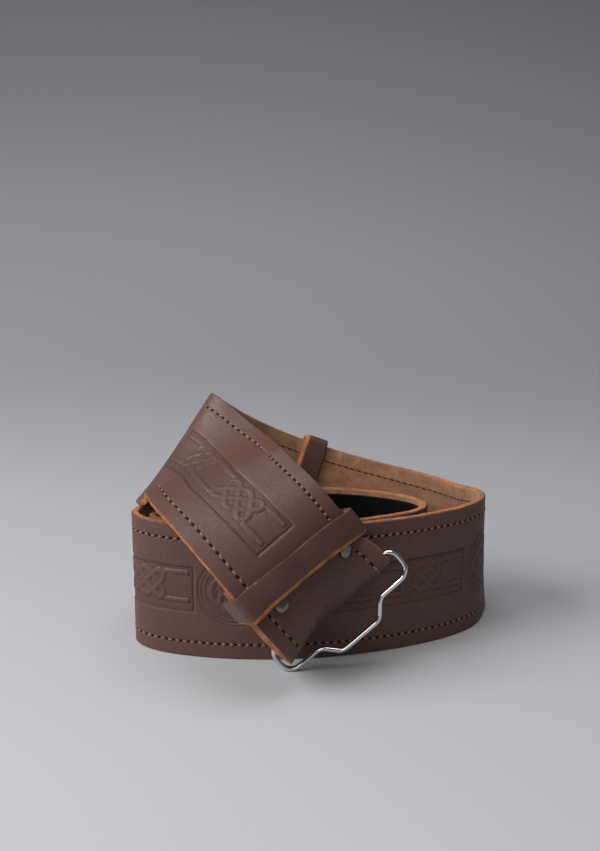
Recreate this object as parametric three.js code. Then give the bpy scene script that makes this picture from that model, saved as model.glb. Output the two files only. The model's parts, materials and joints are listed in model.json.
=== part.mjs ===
// Kilt belt: a wide embossed leather strap, coiled and standing on its long edge, whose buckle end
// crosses the front of the coil and folds round a steel wire catch loop.
// Millimetres, +Z up, the floor is z = 0, +X to the right and +Y away from the viewer.
import * as THREE from 'three';

// Strap
const STRAP_WIDTH = 57;
const STRAP_THICKNESS = 3;
const STRAP_EDGE_BEVEL = 0.45;
const LAYER_GAP = 0.9;

// Coil, measured on the strap's middle line
const COIL_WIDTH = 150;
const COIL_DEPTH = 66;

// Wire catch loop
const WIRE_RADIUS = 1.1;
const WIRE_CLEARANCE = 0.5;
const LOOP_OVERHANG = 3.3;
const LOOP_ARM_REACH = 12.5;
const LOOP_NOSE_REACH = 19.3;
const LOOP_NOSE_HALF_WIDTH = 9.6;
const LOOP_STEP_RUN = 6;
const LOOP_BAR_CORNER = 4.2;
const LOOP_ARM_CORNER = 5.4;
const LOOP_STEP_CORNER = 5;

// Fold round the bar, after a straight lead
const BAR_LEAD = 3;
const FOLD_RETURN_LENGTH = 43;
const PLY_GAP = 0.3;
const PLY_CLOSING_LENGTH = 12;

// Leather keepers
const KEEPER_THICKNESS = 1.8;
const KEEPER_CLEARANCE = 0.8;
const FRONT_KEEPER_WIDTH = 12;
const FRONT_KEEPER_SETBACK = 30;
const FRONT_KEEPER_SLANT = 5;
const BACK_KEEPER_WIDTH = 11.5;
const BACK_KEEPER_SETBACK = 200;

// Rivets
const RIVET_CAP_RADIUS = 3.1;
const RIVET_CAP_HEIGHT = 1;
const RIVET_SPREAD = 17.5;
const RIVET_CENTRE = 1.6;
const RIVET_SETBACK = 23.8;
const RIVET_SLANT = 4.2;
const RIVET_SEAT_GAP = 0.7;
const RIVET_COVER_GAP = 1.1;

// Touch fastener on the flesh side of the free end
const TAPE_THICKNESS = 1.5;
const TAPE_MARGIN = 2.2;
const TAPE_END_MARGIN = 9;
const TAPE_LENGTH = 262;
const TAPE_SEAT_GAP = 0.3;

// The strap's middle line passes by these stations, from the free end to the catch loop. across and
// back are shares of the coil's width and depth, up is a share of the strap's width. lean is the
// strap's tilt about its own run, in degrees. layer counts the strap thicknesses by which a row is
// moved off the outer turn: -1 towards the middle of the coil, 1 towards the outside.
const STATIONS = [
  { across: -0.200, back: 0.325, up: 0.500, lean: 0, layer: 0 },
  { across: -0.320, back: 0.370, up: 0.500, lean: 0, layer: 0 },
  { across: -0.415, back: 0.305, up: 0.500, lean: 0, layer: 0 },
  { across: -0.405, back: 0.175, up: 0.500, lean: 0, layer: 0 },
  { across: -0.310, back: 0.050, up: 0.500, lean: 0, layer: -1 },
  { across: -0.115, back: -0.015, up: 0.500, lean: 0, layer: -1 },
  { across: 0.125, back: 0.045, up: 0.500, lean: 0, layer: -1 },
  { across: 0.270, back: 0.245, up: 0.500, lean: 0, layer: 0 },
  { across: 0.350, back: 0.370, up: 0.500, lean: 0, layer: 0 },
  { across: 0.355, back: 0.525, up: 0.500, lean: 0, layer: 0 },
  { across: 0.310, back: 0.640, up: 0.500, lean: 0, layer: 0 },
  { across: 0.215, back: 0.750, up: 0.500, lean: 0, layer: 0 },
  { across: 0.085, back: 0.830, up: 0.500, lean: 0, layer: 0 },
  { across: -0.065, back: 0.765, up: 0.500, lean: 0, layer: 0 },
  { across: -0.230, back: 0.680, up: 0.500, lean: 0, layer: 0 },
  { across: -0.380, back: 0.550, up: 0.500, lean: 0, layer: 0 },
  { across: -0.475, back: 0.380, up: 0.500, lean: 0, layer: 0 },
  { across: -0.440, back: 0.170, up: 0.500, lean: 0, layer: 0 },
  { across: -0.310, back: 0.050, up: 0.500, lean: 0, layer: 0 },
  { across: -0.115, back: -0.015, up: 0.500, lean: 0, layer: 0 },
  { across: 0.125, back: 0.045, up: 0.500, lean: 0, layer: 0 },
  { across: 0.355, back: 0.235, up: 0.500, lean: 0, layer: 0 },
  { across: 0.510, back: 0.490, up: 0.500, lean: 0, layer: 0 },
  { across: 0.540, back: 0.730, up: 0.500, lean: -1, layer: 0 },
  { across: 0.525, back: 0.950, up: 0.510, lean: 18, layer: 0 },
  { across: 0.385, back: 1.055, up: 0.510, lean: 4, layer: 0 },
  { across: 0.130, back: 1.015, up: 0.670, lean: -16, layer: 0 },
  { across: -0.150, back: 0.975, up: 0.935, lean: -14, layer: 0 },
  { across: -0.320, back: 0.915, up: 1.210, lean: 8, layer: 0 },
  { across: -0.370, back: 0.670, up: 1.385, lean: 36, layer: 0 },
  { across: -0.295, back: 0.420, up: 1.340, lean: 59, layer: 0 },
  { across: -0.235, back: 0.245, up: 1.290, lean: 76, layer: 1 },
  { across: -0.215, back: 0.010, up: 1.310, lean: 73, layer: 1 },
  { across: -0.160, back: -0.150, up: 1.225, lean: 71, layer: 1 },
  { across: -0.095, back: -0.280, up: 1.090, lean: 61, layer: 1 },
  { across: -0.030, back: -0.320, up: 0.885, lean: 36, layer: 1 },
  { across: 0.040, back: -0.270, up: 0.615, lean: 7, layer: 1 },
  { across: 0.070, back: -0.125, up: 0.540, lean: -41, layer: 1 },
];

const STEPS_PER_STATION = 7;
const LEATHER_COLOUR = 0x5a3c34;
const TAPE_COLOUR = 0x101012;
const STEEL_COLOUR = 0xc9ccd0;

const layerPitch = STRAP_THICKNESS + LAYER_GAP;
const UP = new THREE.Vector3(0, 0, 1);

const degrees = (angle) => THREE.MathUtils.degToRad(angle);
const along = (origin, ...moves) =>
  moves.reduce((point, [direction, distance]) => point.addScaledVector(direction, distance), origin.clone());

// Width and outward directions of a strap that runs along `run` with the given lean.
function strapAxes(run, lean) {
  const upright = UP.clone().addScaledVector(run, -UP.dot(run)).normalize();
  const inward = upright.clone().cross(run);
  const width = along(new THREE.Vector3(), [upright, Math.cos(lean)], [inward, Math.sin(lean)]);
  return { run, width, outward: run.clone().cross(width).normalize() };
}

function stationPoints() {
  const shares = STATIONS.map((row) => ({
    point: new THREE.Vector3(row.across * COIL_WIDTH, row.back * COIL_DEPTH, row.up * STRAP_WIDTH),
    lean: degrees(row.lean),
    layer: row.layer,
  }));
  return shares.map((share, index) => {
    const before = shares[Math.max(index - 1, 0)].point;
    const after = shares[Math.min(index + 1, shares.length - 1)].point;
    const run = after.clone().sub(before).normalize();
    const { outward } = strapAxes(run, share.lean);
    return { point: along(share.point, [outward, share.layer * layerPitch]), lean: share.lean };
  });
}

// Uniform cubic B-spline through the control rows, whose ends are carried on in a straight line.
function smoothRows(rows) {
  const mirror = (end, next) => ({
    point: end.point.clone().multiplyScalar(2).sub(next.point),
    lean: 2 * end.lean - next.lean,
  });
  const padded = [mirror(rows[0], rows[1]), ...rows, mirror(rows.at(-1), rows.at(-2))];
  const smooth = [];
  for (let span = 0; span < rows.length - 1; span += 1) {
    const last = span === rows.length - 2;
    for (let step = 0; step < STEPS_PER_STATION + (last ? 1 : 0); step += 1) {
      const t = step / STEPS_PER_STATION;
      const weights = [
        (1 - t) ** 3 / 6,
        (3 * t ** 3 - 6 * t ** 2 + 4) / 6,
        (-3 * t ** 3 + 3 * t ** 2 + 3 * t + 1) / 6,
        t ** 3 / 6,
      ];
      const point = new THREE.Vector3();
      let lean = 0;
      weights.forEach((weight, index) => {
        point.addScaledVector(padded[span + index].point, weight);
        lean += padded[span + index].lean * weight;
      });
      smooth.push({ point, lean });
    }
  }
  return smooth;
}

// The strap's middle surface as frames, each with its distance from the free end.
function strapFrames() {
  const rows = smoothRows(stationPoints());
  let distance = 0;
  const curved = rows.map((row, index) => {
    const before = rows[Math.max(index - 1, 0)].point;
    const after = rows[Math.min(index + 1, rows.length - 1)].point;
    distance += index > 0 ? row.point.distanceTo(before) : 0;
    const run = after.clone().sub(before).normalize();
    return { point: row.point, distance, ...strapAxes(run, row.lean) };
  });
  const last = curved.at(-1);
  const lead = { ...last, point: along(last.point, [last.run, BAR_LEAD]), distance: distance + BAR_LEAD };
  return [...curved, lead];
}

const frames = strapFrames();
const strapEnd = frames.at(-1).distance;

// Frame at any distance from the free end.
function frameAt(distance) {
  const after = Math.max(1, frames.findIndex((frame) => frame.distance >= distance));
  const high = distance >= strapEnd ? frames.at(-1) : frames[after];
  const low = distance >= strapEnd ? frames.at(-2) : frames[after - 1];
  const share = (distance - low.distance) / (high.distance - low.distance);
  const run = low.run.clone().lerp(high.run, share).normalize();
  const width = low.width.clone().lerp(high.width, share);
  width.addScaledVector(run, -width.dot(run)).normalize();
  return {
    point: low.point.clone().lerp(high.point, share),
    distance,
    run,
    width,
    outward: run.clone().cross(width),
  };
}

function framesBetween(start, end) {
  const inner = frames.filter((frame) => frame.distance > start + 0.5 && frame.distance < end - 0.5);
  return [frameAt(start), ...inner, frameAt(end)];
}

// Closed body from rings of equal length: rings run along the body, caps close its two ends.
function sweptSolid(rings) {
  const count = rings[0].length;
  const positions = rings.flat().flatMap((point) => point.toArray());
  const indices = [];
  for (let ring = 0; ring < rings.length - 1; ring += 1) {
    for (let corner = 0; corner < count; corner += 1) {
      const next = (corner + 1) % count;
      const a = ring * count + corner;
      const b = ring * count + next;
      indices.push(a, b, b + count, a, b + count, a + count);
    }
  }
  const lastRing = (rings.length - 1) * count;
  for (let corner = 1; corner < count - 1; corner += 1) {
    indices.push(0, corner + 1, corner);
    indices.push(lastRing, lastRing + corner, lastRing + corner + 1);
  }
  return indexedGeometry(positions, indices);
}

// Closed body from rings that meet again, such as a wire bent into a loop.
function sweptLoop(rings) {
  const count = rings[0].length;
  const positions = rings.flat().flatMap((point) => point.toArray());
  const indices = [];
  for (let ring = 0; ring < rings.length; ring += 1) {
    const nextRing = (ring + 1) % rings.length;
    for (let corner = 0; corner < count; corner += 1) {
      const next = (corner + 1) % count;
      const a = ring * count + corner;
      const b = ring * count + next;
      const c = nextRing * count + next;
      const d = nextRing * count + corner;
      indices.push(a, b, c, a, c, d);
    }
  }
  return indexedGeometry(positions, indices);
}

function indexedGeometry(positions, indices) {
  const geometry = new THREE.BufferGeometry();
  geometry.setAttribute('position', new THREE.Float32BufferAttribute(positions, 3));
  geometry.setIndex(indices);
  return geometry;
}

// Corners of a bevelled strip section, counter-clockwise seen along the run.
function stripRing(frame, halfWidth, outer, inner, bevel) {
  const corner = (across, depth) => along(frame.point, [frame.width, across], [frame.outward, depth]);
  return [
    corner(-halfWidth + bevel, outer),
    corner(-halfWidth, outer - bevel),
    corner(-halfWidth, inner + bevel),
    corner(-halfWidth + bevel, inner),
    corner(halfWidth - bevel, inner),
    corner(halfWidth, inner + bevel),
    corner(halfWidth, outer - bevel),
    corner(halfWidth - bevel, outer),
  ];
}

// Fold: the strap goes half way round the bar and comes back behind itself
const foldRadius = WIRE_RADIUS + WIRE_CLEARANCE + STRAP_THICKNESS / 2;
const FOLD_STEPS = 12;
const RETURN_STEPS = 18;

const barFrame = frameAt(strapEnd);
const barCentre = along(barFrame.point, [barFrame.outward, -foldRadius]);

function foldFrames() {
  const turned = [];
  for (let step = 1; step <= FOLD_STEPS; step += 1) {
    const angle = Math.PI * (step / FOLD_STEPS);
    const outward = along(
      new THREE.Vector3(),
      [barFrame.outward, Math.cos(angle)],
      [barFrame.run, Math.sin(angle)],
    );
    turned.push({
      point: along(barCentre, [outward, foldRadius]),
      width: barFrame.width,
      outward,
    });
  }
  return turned;
}

// Distance between the middle surfaces of the two plies, which close up behind the bar.
function plyOffset(distance) {
  const closed = STRAP_THICKNESS + PLY_GAP;
  const closing = THREE.MathUtils.smoothstep(distance, 0, PLY_CLOSING_LENGTH);
  return THREE.MathUtils.lerp(2 * foldRadius, closed, closing);
}

function returnFrames() {
  const back = [];
  for (let step = 1; step <= RETURN_STEPS; step += 1) {
    const distance = FOLD_RETURN_LENGTH * (step / RETURN_STEPS);
    const front = frameAt(strapEnd - distance);
    back.push({
      point: along(front.point, [front.outward, -plyOffset(distance)]),
      width: front.width,
      outward: front.outward.clone().negate(),
    });
  }
  return back;
}

function strapGeometry() {
  const half = STRAP_THICKNESS / 2;
  const whole = [...frames, ...foldFrames(), ...returnFrames()];
  return sweptSolid(
    whole.map((frame) => stripRing(frame, STRAP_WIDTH / 2, half, -half, STRAP_EDGE_BEVEL)),
  );
}

function tapeGeometry() {
  const face = -STRAP_THICKNESS / 2 - TAPE_SEAT_GAP;
  const halfWidth = STRAP_WIDTH / 2 - TAPE_MARGIN;
  const stretch = framesBetween(TAPE_END_MARGIN, TAPE_END_MARGIN + TAPE_LENGTH);
  return sweptSolid(
    stretch.map((frame) => stripRing(frame, halfWidth, face, face - TAPE_THICKNESS, TAPE_THICKNESS / 5)),
  );
}

// Leather band round the strap: each section is a closed ring whose hole the strap passes through.
const BAND_CORNER_STEPS = 3;
const BAND_STEPS = 8;

// A band with a slant lies askew on the strap: its right-hand side is further along.
function bandOutline(distance, slant, halfWidth, outer, inner, radius) {
  const corners = [
    [-halfWidth + radius, outer - radius, 90],
    [-halfWidth + radius, inner + radius, 180],
    [halfWidth - radius, inner + radius, 270],
    [halfWidth - radius, outer - radius, 0],
  ];
  return corners.flatMap(([across, depth, start]) =>
    Array.from({ length: BAND_CORNER_STEPS + 1 }, (_, step) => {
      const angle = degrees(start + 90 * (step / BAND_CORNER_STEPS));
      const place = across + radius * Math.cos(angle);
      const frame = frameAt(distance + slant * (place / halfWidth));
      return along(
        frame.point,
        [frame.width, place],
        [frame.outward, depth + radius * Math.sin(angle)],
      );
    }),
  );
}

// Band whose hole clears the strap's sides and flesh by the keeper clearance, its grain by grainGap.
function bandGeometry(middle, length, slant, innerReach, grainGap) {
  const grow = (amount, radius) => (distance) =>
    bandOutline(
      distance,
      slant,
      STRAP_WIDTH / 2 + amount,
      STRAP_THICKNESS / 2 + grainGap + amount - KEEPER_CLEARANCE,
      innerReach - amount,
      radius,
    );
  const stretch = Array.from({ length: BAND_STEPS + 1 }, (_, step) =>
    middle + length * (step / BAND_STEPS - 0.5),
  );
  const outside = stretch.map(grow(KEEPER_CLEARANCE + KEEPER_THICKNESS, KEEPER_THICKNESS));
  const inside = stretch.map(grow(KEEPER_CLEARANCE, KEEPER_THICKNESS / 4)).reverse();
  const around = [...outside, ...inside];
  const rings = outside[0].map((_, corner) => around.map((ring) => ring[corner]));
  return sweptLoop(rings.reverse());
}

function frontKeeperGeometry() {
  const plies = plyOffset(FRONT_KEEPER_SETBACK);
  const overRivets = RIVET_SEAT_GAP + RIVET_CAP_HEIGHT + RIVET_COVER_GAP;
  return bandGeometry(
    strapEnd - FRONT_KEEPER_SETBACK,
    FRONT_KEEPER_WIDTH,
    FRONT_KEEPER_SLANT,
    -plies - STRAP_THICKNESS / 2,
    overRivets,
  );
}

function backKeeperGeometry() {
  return bandGeometry(
    strapEnd - BACK_KEEPER_SETBACK,
    BACK_KEEPER_WIDTH,
    0,
    -STRAP_THICKNESS / 2,
    KEEPER_CLEARANCE,
  );
}

// Outline of the wire loop in its own plane: x along the bar, y away from the strap.
function loopCorners() {
  const end = STRAP_WIDTH / 2 + LOOP_OVERHANG;
  const step = LOOP_NOSE_HALF_WIDTH + LOOP_STEP_RUN;
  const half = [
    [end, 0, LOOP_BAR_CORNER],
    [end, LOOP_ARM_REACH, LOOP_ARM_CORNER],
    [step, LOOP_ARM_REACH, LOOP_STEP_CORNER],
    [LOOP_NOSE_HALF_WIDTH, LOOP_NOSE_REACH, LOOP_STEP_CORNER],
  ];
  const mirrored = half.map(([x, y, radius]) => [-x, y, radius]).reverse();
  return [...half, ...mirrored].map(([x, y, radius]) => ({ point: new THREE.Vector2(x, y), radius }));
}

const LOOP_CORNER_STEPS = 6;

function roundedOutline(corners) {
  return corners.flatMap(({ point, radius }, index) => {
    const before = corners.at(index - 1).point.clone().sub(point).normalize();
    const after = corners[(index + 1) % corners.length].point.clone().sub(point).normalize();
    const halfAngle = Math.acos(THREE.MathUtils.clamp(before.dot(after), -1, 1)) / 2;
    const reach = radius / Math.tan(halfAngle);
    const start = point.clone().addScaledVector(before, reach);
    const end = point.clone().addScaledVector(after, reach);
    const centre = before.add(after).normalize().multiplyScalar(radius / Math.sin(halfAngle)).add(point);
    const from = start.clone().sub(centre).angle();
    let sweep = end.clone().sub(centre).angle() - from;
    sweep += sweep > Math.PI ? -2 * Math.PI : 0;
    sweep += sweep < -Math.PI ? 2 * Math.PI : 0;
    return Array.from({ length: LOOP_CORNER_STEPS + 1 }, (_, step) => {
      const angle = from + sweep * (step / LOOP_CORNER_STEPS);
      return new THREE.Vector2(Math.cos(angle), Math.sin(angle)).multiplyScalar(radius).add(centre);
    });
  });
}

const SWING_ROUNDS = 40;

// The loop swings on its bar. swing is measured from the strap's own run, outwards.
function loopDirection(swing) {
  return along(new THREE.Vector3(), [barFrame.run, Math.cos(swing)], [barFrame.outward, Math.sin(swing)]);
}

function lowestPoint(outline, swing) {
  const reach = loopDirection(swing);
  const heights = outline.map((point) => along(barCentre, [barFrame.width, point.x], [reach, point.y]).z);
  return Math.min(...heights) - WIRE_RADIUS;
}

// Swing at which the loop hangs straight down, or rests on the floor if it would pass through it.
function restingSwing(outline) {
  let lowered = Math.atan2(-barFrame.outward.z, -barFrame.run.z);
  if (lowestPoint(outline, lowered) > 0) {
    return lowered;
  }
  let raised = lowered + degrees(90);
  for (let round = 0; round < SWING_ROUNDS; round += 1) {
    const middle = (raised + lowered) / 2;
    if (lowestPoint(outline, middle) > 0) {
      raised = middle;
    } else {
      lowered = middle;
    }
  }
  return raised;
}

const WIRE_SIDES = 10;

function loopGeometry() {
  const outline = roundedOutline(loopCorners());
  const reach = loopDirection(restingSwing(outline));
  const normal = reach.clone().cross(barFrame.width).normalize();
  const place = (point) => along(barCentre, [barFrame.width, point.x], [reach, point.y]);
  const rings = outline.map((point, index) => {
    const before = place(outline.at(index - 1));
    const after = place(outline[(index + 1) % outline.length]);
    const side = normal.clone().cross(after.sub(before)).normalize();
    return Array.from({ length: WIRE_SIDES }, (_, step) => {
      const angle = (2 * Math.PI * step) / WIRE_SIDES;
      return along(
        place(point),
        [side, WIRE_RADIUS * Math.cos(angle)],
        [normal, WIRE_RADIUS * Math.sin(angle)],
      );
    });
  });
  return sweptLoop(rings);
}

// Domed cap on the grain side, turned about its own axis
const CAP_STEPS = 5;
const CAP_SIDES = 20;
const CAP_RIM = 0.35;

function rivetGeometry() {
  const profile = [new THREE.Vector2(0, 0), new THREE.Vector2(RIVET_CAP_RADIUS, 0)];
  for (let step = 0; step <= CAP_STEPS; step += 1) {
    const angle = (Math.PI / 2) * (step / CAP_STEPS);
    const radius = RIVET_CAP_RADIUS * Math.cos(angle);
    const height = CAP_RIM + (RIVET_CAP_HEIGHT - CAP_RIM) * Math.sin(angle);
    profile.push(new THREE.Vector2(step === CAP_STEPS ? 0 : radius, height));
  }
  return new THREE.LatheGeometry(profile, CAP_SIDES);
}

// Point of the grain face at a distance from the free end and a place across the strap's width.
function grainPoint(distance, across) {
  const frame = frameAt(distance);
  return along(frame.point, [frame.width, across], [frame.outward, STRAP_THICKNESS / 2]);
}

function rivetMesh(name, side) {
  const mesh = new THREE.Mesh(rivetGeometry(), material(STEEL_COLOUR, 0.25, 1));
  const distance = strapEnd - RIVET_SETBACK + side * RIVET_SLANT;
  const across = RIVET_CENTRE + side * RIVET_SPREAD;
  const ahead = grainPoint(distance + RIVET_CAP_RADIUS, across);
  const behind = grainPoint(distance - RIVET_CAP_RADIUS, across);
  const outward = ahead.clone().sub(behind).cross(frameAt(distance).width).normalize();
  mesh.name = name;
  mesh.position.copy(along(grainPoint(distance, across), [outward, RIVET_SEAT_GAP]));
  mesh.quaternion.setFromUnitVectors(new THREE.Vector3(0, 1, 0), outward);
  return mesh;
}

function material(color, roughness, metalness) {
  return new THREE.MeshStandardMaterial({ color, roughness, metalness });
}

function namedMesh(name, geometry, look) {
  const mesh = new THREE.Mesh(geometry, look);
  mesh.name = name;
  return mesh;
}

// Sets the group down so that the origin is the middle of its bottom.
function standOnOrigin(group) {
  const box = new THREE.Box3().setFromObject(group);
  const middle = box.getCenter(new THREE.Vector3());
  const shift = new THREE.Vector3(-middle.x, -middle.y, -box.min.z);
  group.children.forEach((mesh) => mesh.position.add(shift));
}

const belt = new THREE.Group();
belt.add(
  namedMesh('strap', strapGeometry(), material(LEATHER_COLOUR, 0.55, 0)),
  namedMesh('touch_fastener', tapeGeometry(), material(TAPE_COLOUR, 0.95, 0)),
  namedMesh('keeper_front', frontKeeperGeometry(), material(LEATHER_COLOUR, 0.5, 0)),
  namedMesh('keeper_back', backKeeperGeometry(), material(LEATHER_COLOUR, 0.5, 0)),
  namedMesh('wire_loop', loopGeometry(), material(STEEL_COLOUR, 0.15, 1)),
  rivetMesh('rivet_left', -1),
  rivetMesh('rivet_right', 1),
);
standOnOrigin(belt);

export default belt;
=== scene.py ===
"""Dresses a coiled kilt belt: embossed leather strap, stitches, keepers, tape, wire loop and rivets."""

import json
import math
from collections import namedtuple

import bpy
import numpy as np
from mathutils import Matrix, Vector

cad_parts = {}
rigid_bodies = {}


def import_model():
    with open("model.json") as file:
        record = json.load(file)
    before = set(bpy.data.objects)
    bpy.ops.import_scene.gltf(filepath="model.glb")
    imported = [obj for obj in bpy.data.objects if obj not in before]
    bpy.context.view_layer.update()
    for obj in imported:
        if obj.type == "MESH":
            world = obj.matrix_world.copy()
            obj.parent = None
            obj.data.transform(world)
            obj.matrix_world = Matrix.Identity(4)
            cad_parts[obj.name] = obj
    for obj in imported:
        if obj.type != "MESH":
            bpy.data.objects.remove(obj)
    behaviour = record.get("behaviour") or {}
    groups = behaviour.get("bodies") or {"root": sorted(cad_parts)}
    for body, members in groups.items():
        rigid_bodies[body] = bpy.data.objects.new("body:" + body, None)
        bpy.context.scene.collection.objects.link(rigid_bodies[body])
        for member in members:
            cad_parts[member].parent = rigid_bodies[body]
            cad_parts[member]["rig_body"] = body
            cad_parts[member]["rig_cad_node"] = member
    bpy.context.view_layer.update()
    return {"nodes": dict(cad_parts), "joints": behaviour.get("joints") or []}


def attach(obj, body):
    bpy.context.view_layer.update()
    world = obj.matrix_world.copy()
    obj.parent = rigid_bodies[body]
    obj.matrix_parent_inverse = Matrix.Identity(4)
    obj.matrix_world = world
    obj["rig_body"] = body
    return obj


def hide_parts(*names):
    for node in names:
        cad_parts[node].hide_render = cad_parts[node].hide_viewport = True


bl_info = {
    "name": "Kilt belt",
    "version": (1, 0, 0),
    "blender": (4, 5, 0),
    "location": "View3D > Sidebar > Kilt belt",
    "description": "Builds the leather, thread and metal of a coiled kilt belt around its packed frame",
    "category": "Object",
}

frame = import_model()
MM = 0.001


def linear(code):
    """Linear colour of a screen colour written as six hex digits."""
    parts = [int(code[place:place + 2], 16) / 255 for place in (0, 2, 4)]
    return tuple(part / 12.92 if part <= 0.04045 else ((part + 0.055) / 1.055) ** 2.4 for part in parts)


def metres(name, description, default):
    return bpy.props.FloatProperty(name=name, description=description, default=default, unit="LENGTH")


def pigment(name, description, code):
    return bpy.props.FloatVectorProperty(
        name=name, description=description, default=linear(code), subtype="COLOR")


STRAP_WIDTH = 57 * MM


class BeltSizes(bpy.types.PropertyGroup):
    strap_width: metres("Strap width", "Width of the strap", STRAP_WIDTH)
    strap_thickness: metres("Strap thickness", "Thickness of one ply", 3 * MM)
    stitch_margin: metres("Stitch margin", "From the strap's edge to a stitch row", 6.4 * MM)
    stitch_pitch: metres("Stitch pitch", "Length of one stitch", 3.25 * MM)
    relief_depth: metres("Relief depth", "Depth of the deepest embossing", 0.5 * MM)
    keeper_thickness: metres("Keeper thickness", "Thickness of a keeper", 1.8 * MM)
    front_keeper_width: metres(
        "Front keeper width", "Along the strap, before its edges are laid askew", 12 * MM)
    back_keeper_width: metres("Back keeper width", "Along the strap", 11.5 * MM)


class BeltColours(bpy.types.PropertyGroup):
    leather: pigment("Leather", "Grain side", "513630")
    # Dark leather tone: painted shade in the strap's embossed ground and grooves, and a dark fine tone in
    # the keepers' leather
    dark_leather_and_groove_shade: pigment("Dark leather and painted groove shade", "Painted shade in the embossing's ground and grooves, and dark fine tone on the keepers", "2c1a16")
    suede: pigment("Suede", "Flesh side", "996b4e")
    cut_edge: pigment("Cut edge", "Raw edge of the leather", "bd7840")
    thread: pigment("Thread", "Thread on the grain side", "94664f")
    tape: pigment("Tape", "Touch fastener", "050505")
    metal: pigment("Metal", "Wire loop", "d6d7da")


def sizes():
    return bpy.context.scene.belt_sizes


def colours():
    return bpy.context.scene.belt_colours


def half_width():
    return sizes().strap_width / 2


def ply_face():
    return sizes().strap_thickness / 2


def stitch_line():
    """Place across the strap of a stitch row, from the strap's middle."""
    return half_width() - sizes().stitch_margin


# Path of the strap: shares of the coil's width, its depth and the strap's width, then lean and layer
STATIONS = (
    (-0.2, 0.325, 0.5, 0, 0), (-0.32, 0.37, 0.5, 0, 0), (-0.415, 0.305, 0.5, 0, 0),
    (-0.405, 0.175, 0.5, 0, 0), (-0.31, 0.05, 0.5, 0, -1), (-0.115, -0.015, 0.5, 0, -1),
    (0.125, 0.045, 0.5, 0, -1), (0.27, 0.245, 0.5, 0, 0), (0.35, 0.37, 0.5, 0, 0),
    (0.355, 0.525, 0.5, 0, 0), (0.31, 0.64, 0.5, 0, 0), (0.215, 0.75, 0.5, 0, 0),
    (0.085, 0.83, 0.5, 0, 0), (-0.065, 0.765, 0.5, 0, 0), (-0.23, 0.68, 0.5, 0, 0),
    (-0.38, 0.55, 0.5, 0, 0), (-0.475, 0.38, 0.5, 0, 0), (-0.44, 0.17, 0.5, 0, 0),
    (-0.31, 0.05, 0.5, 0, 0), (-0.115, -0.015, 0.5, 0, 0), (0.125, 0.045, 0.5, 0, 0),
    (0.355, 0.235, 0.5, 0, 0), (0.51, 0.49, 0.5, 0, 0), (0.54, 0.73, 0.5, -1, 0),
    (0.525, 0.95, 0.51, 18, 0), (0.385, 1.055, 0.51, 4, 0), (0.13, 1.015, 0.67, -16, 0),
    (-0.15, 0.975, 0.935, -14, 0), (-0.32, 0.915, 1.21, 8, 0), (-0.37, 0.67, 1.385, 36, 0),
    (-0.295, 0.42, 1.34, 59, 0), (-0.235, 0.245, 1.29, 76, 1), (-0.215, 0.01, 1.31, 73, 1),
    (-0.16, -0.15, 1.225, 71, 1), (-0.095, -0.28, 1.09, 61, 1), (-0.03, -0.32, 0.885, 36, 1),
    (0.04, -0.27, 0.615, 7, 1), (0.07, -0.125, 0.54, -41, 1),
)
COIL_WIDTH = 150 * MM
COIL_DEPTH = 66 * MM
LAYER_PITCH = 3.9 * MM
BAR_LEAD = 3 * MM
FOLD_RADIUS = 3.1 * MM
FOLD_RETURN_LENGTH = 43 * MM
PLY_CLOSING_LENGTH = 12 * MM
CLOSED_PLIES = 3.3 * MM
STEPS_PER_STATION = 24
FOLD_STEPS = 24
RETURN_STEPS = 58


def unit(vectors):
    return vectors / np.linalg.norm(vectors, axis=-1, keepdims=True)


def smoothstep(low, high, value):
    share = np.clip((value - low) / (high - low), 0, 1)
    return share * share * (3 - 2 * share)


def central_run(points):
    before = np.vstack([points[:1], points[:-1]])
    after = np.vstack([points[1:], points[-1:]])
    return unit(after - before)


def between(wanted, distance, rows):
    return np.stack([np.interp(wanted, distance, rows[:, axis]) for axis in range(3)], -1)


def strap_axes(run, lean):
    """Width and outward directions of a strap that runs along run with the given lean."""
    upright = unit(np.array([0.0, 0.0, 1.0]) - run[:, 2:3] * run)
    inward = np.cross(upright, run)
    width = upright * np.cos(lean)[:, None] + inward * np.sin(lean)[:, None]
    return width, unit(np.cross(run, width))


def ply_offset(distance):
    closing = smoothstep(0, PLY_CLOSING_LENGTH, distance)
    return 2 * FOLD_RADIUS + (CLOSED_PLIES - 2 * FOLD_RADIUS) * closing


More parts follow.
